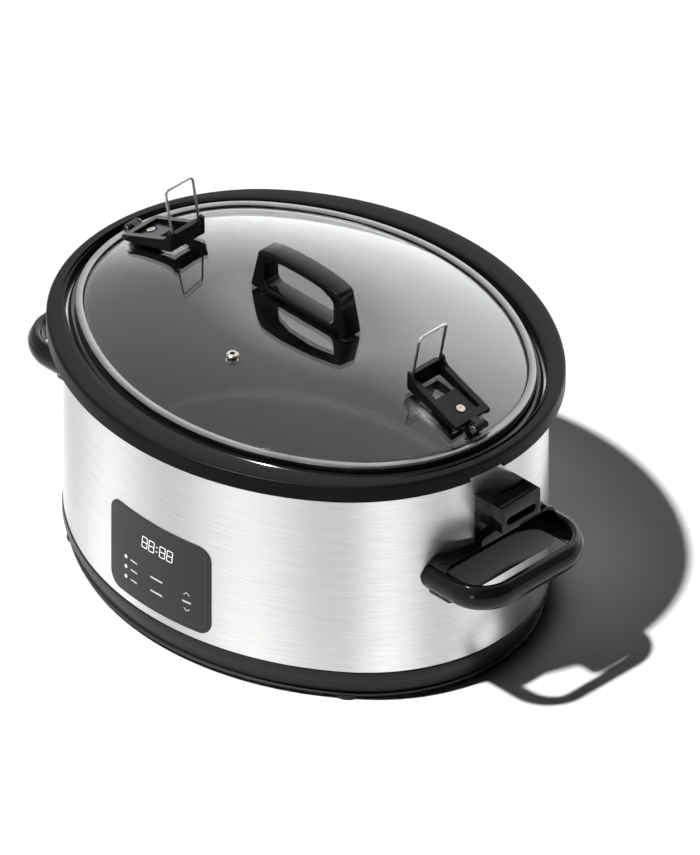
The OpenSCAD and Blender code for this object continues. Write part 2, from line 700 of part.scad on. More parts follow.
// Wire bail: two legs with outward feet, a crossbar and two round bends
module latch_bail() translate([pivot_x, 0, pivot_z]) rotate([0, bail_lean, 0]) {
    bend = 3;
    for (s = [-1, 1]) {
        translate([0, s * bail_y, 0]) cylinder(r = wire_r, h = bail_l - bend);
        translate([0, s * bail_y, 0]) sphere(wire_r);
        translate([0, s * bail_y, 0]) rotate([-s * 90, 0, 0])
            cylinder(r = wire_r, h = lever_w / 2 - 0.6 - bail_y);
        translate([0, s * (bail_y - bend), bail_l - bend]) rotate([90, 0, s * 90])
            rotate_extrude(angle = 90) translate([bend, 0]) circle(wire_r);
    }
    translate([0, 0, bail_l]) rotate([90, 0, 0])
        cylinder(r = wire_r, h = 2 * (bail_y - bend), center = true);
}

module side_handle_right() color(gloss) side_handle();
module side_handle_left() color(gloss) mirror([1, 0, 0]) side_handle();
module catch_block_right() color(gloss) catch_block();
module catch_block_left() color(gloss) mirror([1, 0, 0]) catch_block();
module latch_base_right() color(plastic) latch_base();
module latch_base_left() color(plastic) mirror([1, 0, 0]) latch_base();
module hinge_pin_right() color(steel) hinge_pin();
module hinge_pin_left() color(steel) mirror([1, 0, 0]) hinge_pin();
module latch_lever_right() color(plastic) latch_lever();
module latch_lever_left() color(plastic) mirror([1, 0, 0]) latch_lever();
module latch_bail_right() color(steel) latch_bail();
module latch_bail_left() color(steel) mirror([1, 0, 0]) latch_bail();

outer_wrap();
top_collar();
base_pan();
bottom_cover();
rubber_feet();
cover_screws();
heating_well();
heater_band();
heat_shield();
tie_bolt();
tie_nut();
temperature_sensor();
thermal_fuse();
control_panel();
control_carrier();
control_board();
display_module();
indicator_leds();
power_board();
power_relay();
board_screws();
cord_bushing();
side_handle_left();
side_handle_right();
catch_block_left();
catch_block_right();
handle_screws();
crock();
lid_glass();
lid_ring();
lid_gasket();
lid_handle();
lid_handle_screws();
lid_handle_washers();
vent_grommet();
latch_base_left();
latch_base_right();
latch_pads();
latch_screws();
latch_nuts();
hinge_pin_left();
hinge_pin_right();
latch_lever_left();
latch_lever_right();
latch_bail_left();
latch_bail_right();
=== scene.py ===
import math
import bmesh
import bpy
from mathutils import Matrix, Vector


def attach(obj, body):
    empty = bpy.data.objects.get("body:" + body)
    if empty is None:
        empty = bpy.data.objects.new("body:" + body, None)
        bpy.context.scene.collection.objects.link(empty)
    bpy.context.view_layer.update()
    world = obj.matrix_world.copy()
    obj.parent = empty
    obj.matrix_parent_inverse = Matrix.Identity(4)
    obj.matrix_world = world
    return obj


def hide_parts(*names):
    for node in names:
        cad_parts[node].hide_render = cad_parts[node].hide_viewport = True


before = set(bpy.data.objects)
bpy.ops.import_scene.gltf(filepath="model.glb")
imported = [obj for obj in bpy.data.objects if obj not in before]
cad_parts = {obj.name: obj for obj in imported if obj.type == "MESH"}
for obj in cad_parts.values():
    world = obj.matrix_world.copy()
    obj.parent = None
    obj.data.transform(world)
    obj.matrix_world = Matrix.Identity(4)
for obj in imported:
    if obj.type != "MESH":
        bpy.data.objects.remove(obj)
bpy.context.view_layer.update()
scene = bpy.context.scene
mm = 0.001


# Camera. A parallel view from the front right, turned 45 degrees and tipped so that height,
# length and depth all keep one scale.
turn, tip = math.radians(45), math.asin(1 / math.sqrt(3))
back = Vector((math.sin(turn) * math.cos(tip), -math.cos(turn) * math.cos(tip), math.sin(tip)))
camera = bpy.data.objects.new("camera", bpy.data.cameras.new("camera"))
camera.data.type = "ORTHO"
camera.data.ortho_scale = 0.5516
camera.location = Vector((20.1, 20.1, 106.5)) * mm + back * 1.6
camera.rotation_euler = back.to_track_quat("Z", "Y").to_euler()
camera.data.clip_end = 12
scene.view_settings.view_transform = "Standard"
scene.collection.objects.link(camera)
scene.camera = camera


# Floor. A wide pale matte sheet.
def new_material(name):
    """A named material, its node tree and its main shader."""
    made = bpy.data.materials.new(name)
    made.use_nodes = True
    return made, made.node_tree, made.node_tree.nodes["Principled BSDF"]


floor_paint, tree, shader = new_material("floor_paint")
shader.inputs["Base Color"].default_value = (0.9, 0.9, 0.9, 1)
shader.inputs["Roughness"].default_value = 0.85
shader.inputs["Specular IOR Level"].default_value = 0.0
floor_mesh = bpy.data.meshes.new("floor")
floor_mesh.from_pydata([(-6, -6, 0), (6, -6, 0), (6, 6, 0), (-6, 6, 0)], [], [(0, 1, 2, 3)])
floor_mesh.materials.append(floor_paint)
floor = bpy.data.objects.new("floor", floor_mesh)
scene.collection.objects.link(floor)


# Lights. One strong lamp from the front left throws the crisp shadow; a dim wide lamp overhead fills it, and the sky
# and a card, which only glossy surfaces show, put the soft sheen on lid, collar and handles.
world = bpy.data.worlds.new("sky")
world.use_nodes = True
sky = world.node_tree
where = sky.nodes.new("ShaderNodeSeparateXYZ")
sky.links.new(sky.nodes.new("ShaderNodeTexCoord").outputs["Generated"], where.inputs[0])
ramp = sky.nodes.new("ShaderNodeValToRGB")
sky.links.new(where.outputs["Y"], ramp.inputs["Fac"])
levels = ((0.0, 0.32), (0.42, 0.4), (0.6, 0.78), (0.74, 1.0), (1.0, 0.95))
for place, level in levels[1:-1]:
    ramp.color_ramp.elements.new(place).color = (level, level, level, 1)
for end, (place, level) in ((0, levels[0]), (-1, levels[-1])):
    ramp.color_ramp.elements[end].color = (level, level, level, 1)
sky.links.new(ramp.outputs["Color"], sky.nodes["Background"].inputs["Color"])
right_side = sky.nodes.new("ShaderNodeMapRange")
for name, value in (("From Min", 0.1), ("From Max", 0.6), ("To Min", 2.8), ("To Max", 0.5)):
    right_side.inputs[name].default_value = value
sky.links.new(where.outputs["X"], right_side.inputs["Value"])
sky.links.new(right_side.outputs["Result"], sky.nodes["Background"].inputs["Strength"])
world.cycles_visibility.diffuse = False
scene.world = world


def lamp(name, kind, energy, place, aim, size=(1, 1)):
    """A light at a place, turned towards a point."""
    data = bpy.data.lights.new(name, kind)
    data.energy = energy
    if kind == "AREA":
        data.shape = "RECTANGLE"
        data.size, data.size_y = size
    made = bpy.data.objects.new(name, data)
    made.location = place
    made.rotation_euler = (Vector(place) - Vector(aim)).to_track_quat("Z", "Y").to_euler()
    scene.collection.objects.link(made)
    return made


sun = lamp("key", "SUN", 4.2, (-0.36, -0.934, 2.0), (0, 0, 0))
sun.data.angle = math.radians(2.5)
fill = lamp("fill", "AREA", 1.5, (0, 0, 5), (0, 0, 0), (8, 8))
fill.visible_glossy = False
card = lamp("card", "AREA", 2.5, (0.9, -2.0, 0.25), (0, 0, 0.1), (0.3, 0.5))
card.visible_diffuse = False


# Steel wall. One sheet of brushed stainless steel rolled into an oval of four tangent arcs
# and seamed at the back. The collar covers its top edge and the base band its lower edge.
body_c, body_d, body_r = 56.0, 69.5, 117.0


def oval_point(c, d, r, angle):
    """Point of the oval of four arcs, in mm, where the wall faces the given angle."""
    half = math.atan2(d, c)
    facing = math.atan2(math.sin(angle), math.cos(angle))
    if abs(facing) <= half:
        centre, radius = (c, 0), r
    elif abs(facing) >= math.pi - half:
        centre, radius = (-c, 0), r
    else:
        centre = (0, -d) if facing > 0 else (0, d)
        radius = r + math.hypot(c, d)
    return centre[0] + radius * math.cos(angle), centre[1] + radius * math.sin(angle)


def add_piece(name, mesh, body, nodes, sharp=32):
    """Links a finished mesh as a piece that rides on a body and stands for its CAD nodes."""
    for face in mesh.polygons:
        face.use_smooth = True
    mesh.set_sharp_from_angle(angle=math.radians(sharp))
    made = bpy.data.objects.new(name, mesh)
    scene.collection.objects.link(made)
    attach(made, body)
    if nodes:
        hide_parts(*nodes)
    return made


def swept_mesh(name, rows, material, closed=True, around=288):
    """Sweeps a profile round its oval. Each row is (c, d, end radius, height) in mm. Its texture runs round from a
    seam at the back, over a length that a whole number of painted sheen bands fills."""
    mesh = bpy.data.meshes.new(name)
    points, faces, count = [], [], len(rows)
    for i in range(around):
        for c, d, r, z in rows:
            x, y = oval_point(c, d, r, 2 * math.pi * i / around)
            points.append((x * mm, y * mm, z * mm))
    spans = count if closed else count - 1
    for i in range(around):
        for j in range(spans):
            a, b = i * count + j, i * count + (j + 1) % count
            e = (i + 1) % around * count
            faces.append((a, e + j, e + (j + 1) % count, b))
    mesh.from_pydata(points, [], faces)
    layer = mesh.uv_layers.new(name="round_the_wall")
    length = 0.95
    for face in mesh.polygons:
        i = (face.index // spans - around // 4) % around
        for corner, loop in enumerate(face.loop_indices):
            step = i + (1 if corner in (1, 2) else 0)
            z = mesh.vertices[mesh.loops[loop].vertex_index].co.z
            layer.data[loop].uv = (length * step / around, z)
    mesh.materials.append(material)
    made = bmesh.new()
    made.from_mesh(mesh)
    bmesh.ops.recalc_face_normals(made, faces=made.faces)
    made.to_mesh(mesh)
    made.free()
    return mesh


def body_rows(*pairs):
    """Profile rows on the wall's oval from (end radius, height) pairs."""
    return [(body_c, body_d, r, z) for r, z in pairs]


def noise(tree, scale, detail=4, rough=0.5, vector=None):
    """Value of a noise texture, along a given vector."""
    made = tree.nodes.new("ShaderNodeTexNoise")
    made.inputs["Scale"].default_value = scale
    made.inputs["Detail"].default_value = detail
    made.inputs["Roughness"].default_value = rough
    if vector:
        tree.links.new(vector, made.inputs["Vector"])
    return made.outputs["Fac"]


def spread(tree, value, low, high):
    """Stretches the middle half of a noise value over a range."""
    made = tree.nodes.new("ShaderNodeMapRange")
    made.inputs["From Min"].default_value = 0.25
    made.inputs["From Max"].default_value = 0.75
    made.inputs["To Min"].default_value = low
    made.inputs["To Max"].default_value = high
    tree.links.new(value, made.inputs["Value"])
    return made.outputs["Result"]


def stretched(tree, source, scale):
    """A texture vector scaled unevenly."""
    made = tree.nodes.new("ShaderNodeMapping")
    made.inputs["Scale"].default_value = scale
    tree.links.new(source, made.inputs["Vector"])
    return made.outputs["Vector"]


# Brushed steel: noise gives the streaks of brushing, and a cosine below paints sheen bands into the colour.
painted_sheen_every, painted_sheen_peak = 0.95 / 11, 0.6125
brushed_steel, tree, shader = new_material("brushed_steel")
shader.inputs["Metallic"].default_value = 1.0
shader.inputs["Anisotropic"].default_value = 0.55
uv = tree.nodes.new("ShaderNodeUVMap")
uv.uv_map = "round_the_wall"
lines = noise(tree, 1.0, 6, 0.75, stretched(tree, uv.outputs["UV"], (30, 2600, 1)))
bands = noise(tree, 1.0, 3, 0.5, stretched(tree, uv.outputs["UV"], (34, 1000, 1)))
# The brush lines count for two thirds and the wider bands for one third.
both = tree.nodes.new("ShaderNodeMath")
both.operation = "MULTIPLY_ADD"
both.inputs[1].default_value = 0.35
tree.links.new(bands, both.inputs[0])
half_lines = tree.nodes.new("ShaderNodeMath")
half_lines.operation = "MULTIPLY"
half_lines.inputs[1].default_value = 0.65
tree.links.new(lines, half_lines.inputs[0])
tree.links.new(half_lines.outputs[0], both.inputs[2])
tone = tree.nodes.new("ShaderNodeMix")
tone.data_type = "RGBA"
tone.inputs[6].default_value = (0.5, 0.5, 0.49, 1)
tone.inputs[7].default_value = (0.82, 0.82, 0.805, 1)
tree.links.new(spread(tree, both.outputs[0], 0.0, 1.0), tone.inputs[0])
# Painted sheen: upright bands, lighter and darker at fixed places round the wall, are painted into the steel's colour
# in place of the soft reflections of its surroundings.
around_wall = tree.nodes.new("ShaderNodeSeparateXYZ")
tree.links.new(uv.outputs["UV"], around_wall.inputs[0])
phase = tree.nodes.new("ShaderNodeMath")
phase.operation = "MULTIPLY_ADD"
phase.inputs[1].default_value = 2 * math.pi / painted_sheen_every
phase.inputs[2].default_value = -2 * math.pi * painted_sheen_peak / painted_sheen_every
tree.links.new(around_wall.outputs["X"], phase.inputs[0])
painted_sheen_wave = tree.nodes.new("ShaderNodeMath")
painted_sheen_wave.operation = "COSINE"
tree.links.new(phase.outputs[0], painted_sheen_wave.inputs[0])
level = tree.nodes.new("ShaderNodeMapRange")
level.inputs["From Min"].default_value = -1
level.inputs["To Min"].default_value = 0.8
level.inputs["To Max"].default_value = 1.2
tree.links.new(painted_sheen_wave.outputs[0], level.inputs["Value"])
painted_sheen_tone = tree.nodes.new("ShaderNodeVectorMath")
painted_sheen_tone.operation = "SCALE"
tree.links.new(tone.outputs[2], painted_sheen_tone.inputs[0])
tree.links.new(level.outputs["Result"], painted_sheen_tone.inputs["Scale"])
tree.links.new(painted_sheen_tone.outputs[0], shader.inputs["Base Color"])
tree.links.new(spread(tree, both.outputs[0], 0.36, 0.24), shader.inputs["Roughness"])
bump = tree.nodes.new("ShaderNodeBump")
bump.inputs["Strength"].default_value = 0.25
bump.inputs["Distance"].default_value = 0.00006
tree.links.new(both.outputs[0], bump.inputs["Height"])
tree.links.new(bump.outputs["Normal"], shader.inputs["Normal"])
wall_low, wall_high = 23.3, 166.5
wall = swept_mesh("steel_wall", body_rows(
    (body_r, wall_low + 0.2), (body_r, wall_low + 30), (body_r, wall_low + 70), (body_r, wall_low + 110),
    (body_r, wall_high), (body_r - 0.8, wall_high), (body_r - 0.8, wall_low), (body_r - 0.2, wall_low)),
    brushed_steel)
add_piece("steel_wall", wall, "housing", ["outer_wrap"])


# Base. A black moulded pan whose band stands just proud of the steel, with a set-back skirt below it. The flat cover
# screwed underneath is given a lighter grey, a painted highlight for the light line along its thin edge; shading that
# rounds that edge also catches real light.
worn = bpy.data.node_groups.new("surface_wear", "ShaderNodeTree")
for label, kind, value in (("Colour", "NodeSocketColor", (0.02, 0.02, 0.02, 1)), ("Roughness", "NodeSocketFloat", 0.4),
                           ("Grain", "NodeSocketFloat", 900.0), ("Patch", "NodeSocketFloat", 18.0)):
    worn.interface.new_socket(label, in_out="INPUT", socket_type=kind).default_value = value
for label, kind in (("Colour", "NodeSocketColor"), ("Roughness", "NodeSocketFloat"), ("Height", "NodeSocketFloat")):
    worn.interface.new_socket(label, in_out="OUTPUT", socket_type=kind)
given = worn.nodes.new("NodeGroupInput").outputs
gives = worn.nodes.new("NodeGroupOutput").inputs
place = worn.nodes.new("ShaderNodeTexCoord").outputs["Object"]
patches = noise(worn, 18, 3, 0.5, place)
worn.links.new(given["Patch"], patches.node.inputs["Scale"])
grains = noise(worn, 900, 3, 0.6, place)
worn.links.new(given["Grain"], grains.node.inputs["Scale"])
shade = worn.nodes.new("ShaderNodeVectorMath")
shade.operation = "SCALE"
worn.links.new(given["Colour"], shade.inputs[0])
worn.links.new(spread(worn, patches, 0.84, 1.16), shade.inputs["Scale"])
sheen = worn.nodes.new("ShaderNodeMath")
sheen.operation = "MULTIPLY"
worn.links.new(given["Roughness"], sheen.inputs[0])
worn.links.new(spread(worn, patches, 0.85, 1.15), sheen.inputs[1])
worn.links.new(shade.outputs[0], gives["Colour"])
worn.links.new(sheen.outputs[0], gives["Roughness"])
worn.links.new(grains, gives["Height"])


def moulded(name, colour, rough, grain=900, depth=0.00004, coat=0.0, edge=0.0, shine=0.2, metal=0.0, patch=18):
    """A material with fine grain and patchy sheen; edge rounds sharp corners in the shading."""
    made, tree, shader = new_material(name)
    wear = tree.nodes.new("ShaderNodeGroup")
    wear.node_tree = worn
    wear.inputs["Colour"].default_value = (*colour, 1)
    wear.inputs["Roughness"].default_value = rough
    wear.inputs["Grain"].default_value = grain
    wear.inputs["Patch"].default_value = patch
    tree.links.new(wear.outputs["Colour"], shader.inputs["Base Color"])
    tree.links.new(wear.outputs["Roughness"], shader.inputs["Roughness"])
    shader.inputs["Metallic"].default_value = metal
    shader.inputs["Specular IOR Level"].default_value = 0.5 if metal else shine
    shader.inputs["Coat Weight"].default_value = coat
    shader.inputs["Coat Roughness"].default_value = 0.06
    relief = tree.nodes.new("ShaderNodeBump")
    relief.inputs["Strength"].default_value = 0.3
    relief.inputs["Distance"].default_value = depth
    tree.links.new(wear.outputs["Height"], relief.inputs["Height"])
    if edge:
        soft = tree.nodes.new("ShaderNodeBevel")
        soft.inputs["Radius"].default_value = edge
        tree.links.new(soft.outputs["Normal"], relief.inputs["Normal"])
    tree.links.new(relief.outputs["Normal"], shader.inputs["Normal"])
    return made


satin_black = moulded("satin_black_plastic", (0.014, 0.014, 0.015), 0.4)
band_low = 15.5
band = swept_mesh("base_band", body_rows(
    (body_r + 0.75, band_low + 0.8), (body_r + 0.75, wall_low - 1.3), (body_r + 0.4, wall_low - 0.8),
    (body_r - 0.6, wall_low - 0.6), (body_r - 1.0, wall_low - 0.1), (body_r - 4.2, wall_low - 0.1),
    (body_r - 4.2, band_low), (body_r - 0.1, band_low), (body_r + 0.5, band_low + 0.3)), satin_black)
skirt = swept_mesh("base_skirt", body_rows(
    (body_r - 1.6, band_low + 0.4), (body_r - 4.0, 5.0), (body_r - 6.4, 5.0), (body_r - 6.4, band_low + 0.4)),
    satin_black)
whole = bmesh.new()
for part in (band, skirt):
    whole.from_mesh(part)
pan = bpy.data.meshes.new("base_pan")
whole.to_mesh(pan)
whole.free()
pan.materials.append(satin_black)
add_piece("base_band", pan, "housing", ["base_pan"])
# Painted highlight: the cover's lighter grey stands in for the light line along its edge.
lip_painted_highlight = moulded("lip_painted_highlight_plastic", (0.04, 0.04, 0.042), 0.36, edge=0.0008)


# Collar. A thick moulded black rim with a rounded outer edge and an oval opening for the lid.
# Its outline is a rounder oval than the wall, so it stands out most at the front and back.
rim_c, rim_d = 42.0, 51.3
rim_r, rim_top, collar_low = 138.0, 177.5, 165.2
open_r = body_r - 1.3
rim_rows = [(rim_c, rim_d, rim_r - 3, collar_low), (rim_c, rim_d, rim_r - 0.4, collar_low),
            (rim_c, rim_d, rim_r, collar_low + 0.4), (rim_c, rim_d, rim_r, collar_low + 5)]
for step in range(7):
    lean = math.radians(15 * step)
    rim_rows.append((rim_c, rim_d, rim_r - 2 * (1 - math.cos(lean)), rim_top - 2 * (1 - math.sin(lean))))
rim_rows += [(rim_c, rim_d, rim_r - 8, rim_top)]
for share in (0.25, 0.5, 0.75):
    rim_rows.append((rim_c + (body_c - rim_c) * share, rim_d + (body_d - rim_d) * share,
                     (rim_r - 8) + (open_r + 3 - rim_r + 8) * share, rim_top))
rim_rows += [(body_c, body_d, open_r + 1.2, rim_top), (body_c, body_d, open_r + 0.35, rim_top - 0.3),
             (body_c, body_d, open_r, rim_top - 1.0), (body_c, body_d, open_r, rim_top - 16),
             (body_c, body_d, open_r - 2.4, rim_top - 16.4), (body_c, body_d, open_r - 2.4, collar_low - 5),
             (body_c, body_d, open_r + 0.1, collar_low - 5), (body_c, body_d, open_r + 2.8, collar_low + 2.2),
             (rim_c, rim_d, rim_r - 3, rim_top - 3)]
collar_black = moulded("collar_plastic", (0.005, 0.005, 0.0055), 0.36, 1400, 0.00003, shine=0.07)
collar = swept_mesh("collar", rim_rows, collar_black)


# Control panel. A smoked film over a thin carrier that follows the wall's front arc, with a
# finely ruled border, a clock display, three lamps, plain key bars and two chevrons.
panel_w, panel_h, panel_z, panel_corner = 91.0, 68.0, 63.5, 10.0
front_r = body_r + math.hypot(body_c, body_d)


def on_front(x, z, out):
    """A point of the front arc, out mm proud of the steel."""
    return (x * mm, (body_d - math.sqrt((front_r + out) ** 2 - x * x)) * mm, z * mm)


def rounded_outline(w, h, r, steps=8):
    """A rectangle with round corners, centred on zero."""
    line = []
    for corner, (sx, sz) in enumerate(((1, 1), (-1, 1), (-1, -1), (1, -1))):
        for i in range(steps + 1):
            a = math.radians(90 * corner + 90 * i / steps)
            line.append((sx * (w / 2 - r) + r * math.cos(a), sz * (h / 2 - r) + r * math.sin(a)))
    return line


def even_outline(w, h, r, along=20):
    """The same outline with extra points on its straights, so that it can bend round the wall."""
    rough, line = rounded_outline(w, h, r), []
    for i, (x0, z0) in enumerate(rough):
        x1, z1 = rough[(i + 1) % len(rough)]
        parts = along if i % 9 == 8 else 1
        line += [(x0 + (x1 - x0) * k / parts, z0 + (z1 - z0) * k / parts) for k in range(parts)]
    return line


def curved_plate(name, loops, material, filled=True):
    """Joins nested outlines, each (width, height, corner, height over the steel), to one skin."""
    mesh = bpy.data.meshes.new(name)
    points, faces = [], []
    for w, h, r, out in loops:
        points += [on_front(x, panel_z + z, out) for x, z in even_outline(w, h, r)]
    n = len(even_outline(1, 1, 0.1))
    for k in range(len(loops) - 1):
        for i in range(n):
            j = (i + 1) % n
            faces.append((k * n + i, k * n + j, (k + 1) * n + j, (k + 1) * n + i))
    if filled:
        last, middle = (len(loops) - 1) * n, len(points)
        points.append(on_front(0, panel_z, loops[-1][3]))
        faces += [(last + i, last + (i + 1) % n, middle) for i in range(n)]
    mesh.from_pydata(points, [], faces)
    mesh.materials.append(material)
    made = bmesh.new()
    made.from_mesh(mesh)
    bmesh.ops.recalc_face_normals(made, faces=made.faces)
    if sum(f.normal.y for f in made.faces) > 0:
        bmesh.ops.reverse_faces(made, faces=made.faces)
    made.to_mesh(mesh)
    made.free()
    return mesh


panel_film = moulded("panel_film", (0.028, 0.028, 0.03), 0.4, 2400, 0.00002)
loops = [(panel_w, panel_h, panel_corner, 0.05), (panel_w, panel_h, panel_corner, 0.45),
         (panel_w - 0.5, panel_h - 0.5, panel_corner - 0.2, 0.7)]
for k in range(1, 24):
    share = 1 - k / 24
    loops.append(((panel_w - 0.5) * share, (panel_h - 0.5) * share, (panel_corner - 0.2) * share, 0.7))
add_piece("panel_film", curved_plate("panel_film", loops, panel_film), "housing", ["control_panel"])
ink = moulded("panel_ink", (0.6, 0.6, 0.6), 0.5, 2400, 0.00001)
ring_out, ring_in = 7.8, 8.5
border_line = moulded("border_line", (0.07, 0.07, 0.072), 0.3, 2400, 0.00001)
add_piece("panel_border", curved_plate("panel_border", [
    (panel_w - ring_out, panel_h - ring_out, panel_corner - 3, 0.72),
    (panel_w - ring_in, panel_h - ring_in, panel_corner - 3.3, 0.72)], border_line, False), "housing", [])
lit = bpy.data.materials.new("lit_segment")
lit.use_nodes = True
shader = lit.node_tree.nodes["Principled BSDF"]
shader.inputs["Base Color"].default_value = (0.85, 0.87, 0.88, 1)
shader.inputs["Roughness"].default_value = 0.4
glow = spread(lit.node_tree, noise(lit.node_tree, 300, 2, 0.5,
              lit.node_tree.nodes.new("ShaderNodeTexCoord").outputs["Object"]), 0.75, 1.0)
blend = lit.node_tree.nodes.new("ShaderNodeMix")
blend.data_type = "RGBA"
blend.inputs[6].default_value = (0.5, 0.52, 0.53, 1)
blend.inputs[7].default_value = (1, 1, 1, 1)
lit.node_tree.links.new(glow, blend.inputs[0])
lit.node_tree.links.new(blend.outputs[2], shader.inputs["Emission Color"])
shader.inputs["Emission Strength"].default_value = 0.3


repeat = bpy.data.node_groups.new("repeat_on_spots", "GeometryNodeTree")
for label, kind in (("Spots", "NodeSocketGeometry"), ("Part", "NodeSocketObject"), ("Finish", "NodeSocketMaterial")):
    repeat.interface.new_socket(label, in_out="INPUT", socket_type=kind)
repeat.interface.new_socket("Copies", in_out="OUTPUT", socket_type="NodeSocketGeometry")
asked = repeat.nodes.new("NodeGroupInput").outputs
part_info = repeat.nodes.new("GeometryNodeObjectInfo")
facing_out = repeat.nodes.new("GeometryNodeInputNamedAttribute")
facing_out.data_type = "FLOAT_VECTOR"
facing_out.inputs["Name"].default_value = "turn"
put = repeat.nodes.new("GeometryNodeInstanceOnPoints")
real = repeat.nodes.new("GeometryNodeRealizeInstances")
coat_node = repeat.nodes.new("GeometryNodeSetMaterial")
repeat.links.new(asked["Part"], part_info.inputs["Object"])
repeat.links.new(asked["Spots"], put.inputs["Points"])
repeat.links.new(part_info.outputs["Geometry"], put.inputs["Instance"])
repeat.links.new(facing_out.outputs["Attribute"], put.inputs["Rotation"])
repeat.links.new(put.outputs["Instances"], real.inputs["Geometry"])
repeat.links.new(real.outputs["Geometry"], coat_node.inputs["Geometry"])
repeat.links.new(asked["Finish"], coat_node.inputs["Material"])
repeat.links.new(coat_node.outputs["Geometry"], repeat.nodes.new("NodeGroupOutput").inputs["Copies"])
socket = {item.name: item.identifier for item in repeat.interface.items_tree if item.in_out == "INPUT"}


def repeated(name, shapes, spots, finish):
    """Copies a thin raised mark, drawn flat in mm, to each spot of the film, turned to face out."""
    points, faces = [], []
    for outline in shapes:
        start, n = len(points), len(outline)
        points += [(x * mm, y * mm, z * mm) for y in (-0.2, 0.0) for x, z in outline]
        faces += [tuple(range(start, start + n)), tuple(range(start + n, start + 2 * n))]
        faces += [(start + i, start + n + i, start + n + (i + 1) % n, start + (i + 1) % n) for i in range(n)]
    mark = bpy.data.meshes.new("mark")
    mark.from_pydata(points, [], faces)
    made = bmesh.new()
    made.from_mesh(mark)
    bmesh.ops.recalc_face_normals(made, faces=made.faces)
    made.to_mesh(mark)
    made.free()
    where_to = bpy.data.meshes.new("spots")
    where_to.from_pydata([on_front(x, z, 0.66) for x, z in spots], [], [])
    turns = where_to.attributes.new("turn", "FLOAT_VECTOR", "POINT")
    for i, (x, z) in enumerate(spots):
        turns.data[i].vector = (0, 0, math.asin(x / front_r))
    sheet, part = bpy.data.objects.new("sheet", where_to), bpy.data.objects.new("mark", mark)
    for o in (sheet, part):
        scene.collection.objects.link(o)
    copies = sheet.modifiers.new("repeat", "NODES")
    copies.node_group = repeat
    copies[socket["Part"]] = part
    copies[socket["Finish"]] = finish
    bpy.context.view_layer.update()
    mesh = bpy.data.meshes.new_from_object(sheet.evaluated_get(bpy.context.evaluated_depsgraph_get()))
    mesh.name = name
    for o in (sheet, part):
        bpy.data.objects.remove(o)
    return mesh


def bar(x0, z0, x1, z1, thick, taper=0.5):
    """A segment between two points with pointed ends."""
    dx, dz = x1 - x0, z1 - z0
    long = math.hypot(dx, dz)
    ux, uz = dx / long, dz / long
    h = thick / 2
    cut = h * taper * 2
    return [(x0, z0), (x0 + ux * cut - uz * h, z0 + uz * cut + ux * h),
            (x1 - ux * cut - uz * h, z1 - uz * cut + ux * h), (x1, z1),
            (x1 - ux * cut + uz * h, z1 - uz * cut - ux * h), (x0 + ux * cut + uz * h, z0 + uz * cut - ux * h)]


def round_spot(x, z, r, sides=20):
    """A small disc outline."""
    return [(x + r * math.cos(2 * math.pi * i / sides), z + r * math.sin(2 * math.pi * i / sides))
            for i in range(sides)]


digit_z, digit_h, digit_w, slope = 79.3, 8.4, 4.6, 0.1
lean_x = digit_w / 2 + slope * digit_h / 2
strokes = (((0, 0), (1, 0)), ((0, 0.5), (1, 0.5)), ((0, 1), (1, 1)), ((0, 0), (0, 0.5)), ((0, 0.5), (0, 1)),
           ((1, 0), (1, 0.5)), ((1, 0.5), (1, 1)))
eight = [bar(*[v for x, z in ends for v in (digit_w * x + slope * digit_h * z - lean_x, digit_h * (z - 0.5))], 0.62)
         for ends in strokes]
digit_spots = [(left + lean_x, digit_z) for left in (-12.6, -6.2, 3.6, 10.0)]
add_piece("clock_digits", repeated("clock_digits", eight, digit_spots, lit), "housing", [])
add_piece("clock_colon", repeated("clock_colon", [round_spot(0, 0, 0.55)],
                                  [(1.2, digit_z - 1.8), (1.5, digit_z + 1.8)], lit), "housing", [])
lamp_rows = (58.2, 50.6, 42.8)
add_piece("lamps", repeated("lamps", [round_spot(0, 0, 1.35)], [(-28.6, z) for z in lamp_rows], lit), "housing",
          [])
for name, long, thick, spots in (("lamp_marks", 6.4, 1.1, [(-20.4, z) for z in lamp_rows]),
                                 ("key_marks", 10.8, 1.3, [(1.0, 55.4), (1.0, 44.8)]),
                                 ("time_mark", 7.0, 1.3, [(26.9, 49.9)])):
    add_piece(name, repeated(name, [bar(-long / 2, 0, long / 2, 0, thick, 0.1)], spots, ink), "housing", [])
for name, z, up in (("up_mark", 56.3, 1), ("down_mark", 43.8, -1)):
    chevron = [bar(-2.4, -up, 0.1, up, 0.6, 0.2), bar(-0.1, up, 2.4, -up, 0.6, 0.2)]
    add_piece(name, repeated(name, chevron, [(26.9, z)], ink), "housing", [])


# Side handles. Each is one black gloss moulding: a bar bent round two corners, a back plate
# on the steel and a neck up to the catch block. It is screwed on from inside the wall.
gloss_black = moulded("gloss_black_plastic", (0.003, 0.003, 0.0032), 0.11, 1600, 0.00001, 0.12, shine=0.14)


def solid_mesh(name, points, faces, material, bevel=0.0, segments=3, limit=30):
    """Closes up a mesh given in mm, points its faces out and rounds its edges."""
    mesh = bpy.data.meshes.new(name)
    mesh.from_pydata([Vector(p) * mm for p in points], [], faces)
    mesh.materials.append(material)
    made = bmesh.new()
    made.from_mesh(mesh)
    bmesh.ops.remove_doubles(made, verts=made.verts, dist=1e-6)
    bmesh.ops.recalc_face_normals(made, faces=made.faces)
    if bevel:
        edges = [e for e in made.edges if e.is_manifold and e.calc_face_angle(0) > math.radians(limit)]
        bmesh.ops.bevel(made, geom=edges, offset=bevel * mm, segments=segments, profile=0.5,
                        affect="EDGES", clamp_overlap=True)
    made.to_mesh(mesh)
    made.free()
    return mesh


